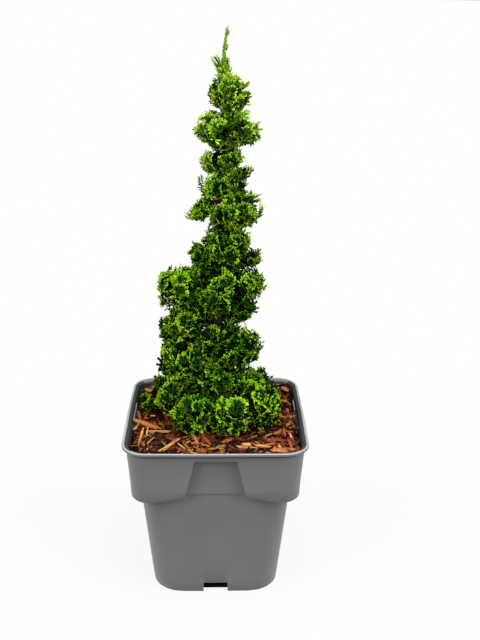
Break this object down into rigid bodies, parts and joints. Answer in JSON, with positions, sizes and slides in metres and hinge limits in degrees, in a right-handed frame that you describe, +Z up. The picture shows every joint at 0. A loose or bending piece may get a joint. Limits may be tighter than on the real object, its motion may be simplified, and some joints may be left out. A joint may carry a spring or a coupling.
{
  "type": "spiral-trimmed dwarf cypress in a square pot",
  "caption": "Small conifer trimmed as a loose upright spiral, with a slim leader, growing in a square tapered nursery pot topped with bark mulch.",
  "frame": {"origin": "centre of the pot's footprint, on the ground", "axes": "+Z up along the pot's axis, -Y towards the front face of the pot, +X to the right as seen from the front"},
  "size_m": [0.1122, 0.1122, 0.3401],
  "materials": {
    "pot": "matte moulded polypropylene",
    "soil": "moist potting soil",
    "mulch": "shredded conifer bark",
    "bark": "thin rough bark",
    "foliage": "matte scale leaves",
    "young_foliage": "matte young scale leaves"
  },
  "bodies": {
    "root": {"arm_left": "foliage", "bark_mulch": "mulch", "bough_arm_left": "bark", "bough_fan_left": "bark", "bough_offshoot_left": "bark", "bough_second_left_back": "bark", "bough_skirt_left": "bark", "bough_skirt_right": "bark", "bough_skirt_right_back": "bark", "crown_left": "foliage", "crown_right": "foliage", "fan_left": "foliage", "fifth_back": "foliage", "fifth_front": "foliage", "fifth_left": "foliage", "fourth_back": "foliage", "fourth_front": "foliage", "fourth_left": "foliage", "inner_front": "foliage", "leader": "young_foliage", "lobe_right": "foliage", "lump_right": "foliage", "offshoot_left": "foliage", "pot": "pot", "second_back": "foliage", "second_front": "foliage", "second_left_back": "foliage", "second_right": "foliage", "seventh_left": "foliage", "seventh_right": "foliage", "sixth_back": "foliage", "sixth_front": "foliage", "sixth_left": "foliage", "skirt_back": "foliage", "skirt_back_left": "foliage", "skirt_front": "foliage", "skirt_front_left": "foliage", "skirt_left": "foliage", "skirt_right": "foliage", "skirt_right_back": "foliage", "soil": "soil", "third_back": "foliage", "third_back_low": "foliage", "third_front": "foliage", "third_left": "foliage", "third_left_low": "foliage", "third_right": "foliage", "third_right_low": "foliage", "trunk": "bark", "twig_right": "foliage"}
  },
  "joints": []
}
